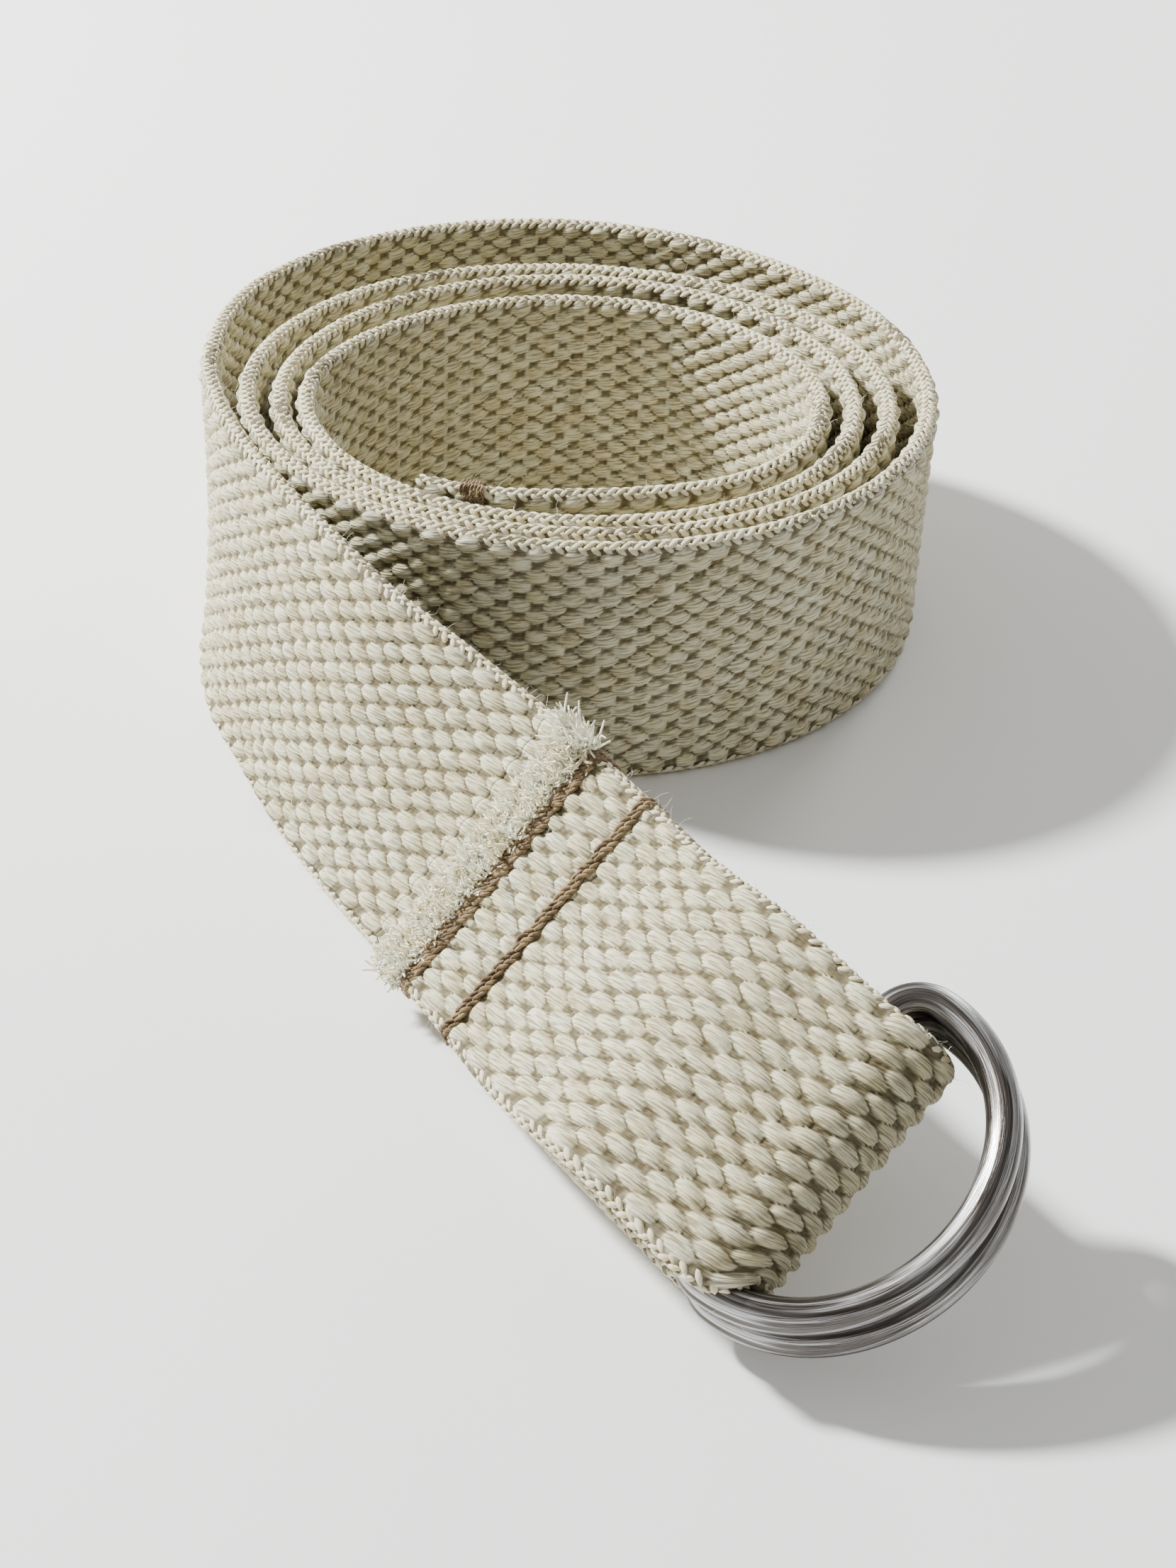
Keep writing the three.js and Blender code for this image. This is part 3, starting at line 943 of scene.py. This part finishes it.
# Radians, and the lens in mm on a sensor SENSOR wide.
CAMERA_YAW = 0.10458
CAMERA_PITCH = 0.59826
CAMERA_ROLL = 0.04579
CAMERA_LENS = 56.81
SENSOR = 36
FLOOR_SIZE = 30  # m
FLOOR_BELOW = 0.00005  # m under the lowest point, so that no face lies in the floor's
FLOOR_WHITE = (0.95, 0.95, 0.95, 1)


def camera():
    cam = bpy.data.objects.new("camera", bpy.data.cameras.new("camera"))
    bpy.context.scene.collection.objects.link(cam)
    cam.data.sensor_width = SENSOR
    cam.data.lens = CAMERA_LENS
    cam.data.clip_start = 0.01
    turn = (Matrix.Rotation(-CAMERA_YAW, 3, "Z")
            @ Matrix.Rotation(math.pi / 2 - CAMERA_PITCH, 3, "X")
            @ Matrix.Rotation(CAMERA_ROLL, 3, "Z"))
    cam.matrix_world = Matrix.Translation(placed(np.array(CAMERA_AT))) @ turn.to_4x4()
    bpy.context.scene.camera = cam


def floor(height):
    bpy.ops.mesh.primitive_plane_add(size=FLOOR_SIZE, location=(0, 0, height))
    obj = bpy.context.object
    obj.name = "table"
    obj.data.materials.append(plain("white table", FLOOR_WHITE))
    return obj


def area_light(name, position, target, size, power, colour):
    light = bpy.data.lights.new(name, "AREA")
    light.shape = "DISK"
    light.size = size
    light.energy = power
    light.color = colour
    obj = bpy.data.objects.new(name, light)
    obj.location = position
    obj.rotation_euler = (Vector(position) - Vector(target)).to_track_quat("Z", "Y").to_euler()
    bpy.context.scene.collection.objects.link(obj)
    return obj


def lights():
    """A small lamp behind on the left, a weak one on the right, and a sky bright up and left."""
    world = bpy.data.worlds.new("studio")
    world.use_nodes = True
    tree = world.node_tree
    direction = tree.nodes.new("ShaderNodeTexCoord").outputs["Generated"]
    lean = tree.nodes.new("ShaderNodeVectorMath")
    lean.operation = "DOT_PRODUCT"
    lean.inputs[1].default_value = (-0.45, 0.0, 0.8)
    tree.links.new(direction, lean.inputs[0])
    shade = tree.nodes.new("ShaderNodeMapRange")
    shade.interpolation_type = "SMOOTHSTEP"
    tree.links.new(lean.outputs["Value"], shade.inputs["Value"])
    for name, value in (("From Min", -0.4), ("From Max", 0.85), ("To Min", 0.15), ("To Max", 0.62)):
        shade.inputs[name].default_value = value
    background = tree.nodes["Background"]
    background.inputs["Color"].default_value = (1.0, 0.99, 0.96, 1)
    tree.links.new(shade.outputs[0], background.inputs["Strength"])
    bpy.context.scene.world = world
    key = area_light("key", position=(-0.72, 0.4, 0.7), target=(0, 0, 0), size=0.12, power=37,
                     colour=(0.985, 0.995, 0.975))
    rim = area_light("rim", position=(0.5, 0.8, 0.35), target=(0, 0.05, 0), size=0.3, power=4,
                     colour=(1.0, 1.0, 1.0))


# ---------------------------------------------------------------- the object
def coil_distance(angle):
    return DISTANCE[round((angle - TAIL_ANGLE) / CONTROL_ANGLE * STATIONS_PER_CONTROL)]


TURN_ENDS = [310, 660, 1010, 1172.5, COIL_END_ANGLE]
TURNS = ["inner", "second", "third", "outer_first_half", "outer_second_half"]
# Rows a period, points a face column and points an edge column: fewer where a turn is hidden.
TURN_SAMPLES = [(9, 4, 3), (7, 3, 3), (7, 3, 3), (10, 4, 3), (11, 5, 3)]
LEAD_SAMPLES = (12, 6, 4)
LOOP_SAMPLES = (10, 6, 4)
HAIRS_ON_COIL = 0.8  # for each mm
HAIRS_ON_LEAD = 2.5  # and on the loop
LEAD_PIECE_END = 96


def bend_with_lead(obj):
    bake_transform(obj)


def strap(material, hair, edge):
    """The whole strap, as lengths that ride the coil, lie in the lead or ride the loop."""
    made = []
    ends = [0] + [coil_distance(a) for a in TURN_ENDS]
    for turn, start, end, (rows, face, rim) in zip(TURNS, ends, ends[1:], TURN_SAMPLES):
        piece = webbing(f"strap_turn_{turn}", start, end, rows, face, rim, material)
        if turn != "outer_second_half":
            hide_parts("coil_turn_" + turn.split("_")[0])
        made.append((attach(piece, "coil"), end - start, "laid", []))
    hairs = edge_hairs("hairs_coil", 0, ends[-1], HAIRS_ON_COIL, hair, 21)
    upper = edge_stitches("edge_stitches_coil", 0, ends[-1], [TOP_SIDE], edge)
    # Of the lower edges, only the outer turn's is seen.
    outer = ends[3], ends[-1]
    lower = edge_stitches("edge_stitches_outer_turn_lower", *outer, [-TOP_SIDE], edge)
    made[-1][3].extend([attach(piece, "coil") for piece in (hairs, upper, lower)])

    lead_end = LEAD_START + LEAD_PIECE_END
    lead = webbing("strap_lead", ends[-1], lead_end, *LEAD_SAMPLES, material)
    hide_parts("lead_webbing")
    hairs = edge_hairs("hairs_lead", ends[-1], lead_end, HAIRS_ON_LEAD, hair, 23)
    stitches = edge_stitches("edge_stitches_lead", ends[-1], lead_end, [-1, 1], edge)
    for piece in (lead, hairs, stitches):
        bend_with_lead(piece)
    made.append((lead, lead_end - ends[-1], "laid", [hairs, stitches]))

    loop = webbing("strap_loop", lead_end, STRAP_END, *LOOP_SAMPLES, material)
    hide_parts("loop_under_layer", "loop_fold", "loop_over_layer")
    hairs = edge_hairs("hairs_loop", lead_end, STRAP_END, HAIRS_ON_LEAD, hair, 25)
    stitches = edge_stitches("edge_stitches_loop", lead_end, STRAP_END, [-1, 1], edge)
    made.append((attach(loop, "loop_end"), STRAP_END - lead_end, "folded",
                 [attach(hairs, "loop_end"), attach(stitches, "loop_end")]))
    return made


def build():
    cotton_webbing = cotton()
    pale_fluff = fluff("cotton fibres", FLUFF)
    brown = thread()
    wire = steel()
    edge_cotton = fluff("cotton edge", EDGE_COTTON)
    lengths = strap(cotton_webbing, pale_fluff, edge_cotton)
    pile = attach(raw_end_pile(pale_fluff), "loop_end")
    rows = stitch_rows(brown)
    wraps = tail_wrap(brown)
    d_ring("ring_upper", "d_ring_upper", "upper_ring", UPPER_BAR, wire)
    d_ring("ring_lower", "d_ring_lower", "lower_ring", LOWER_BAR, wire)
    lengths[0][3].extend(wraps)
    lengths[-1][3].extend([pile] + rows)


camera()
build()
table = floor(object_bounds()[0][2] - FLOOR_BELOW)
lights()
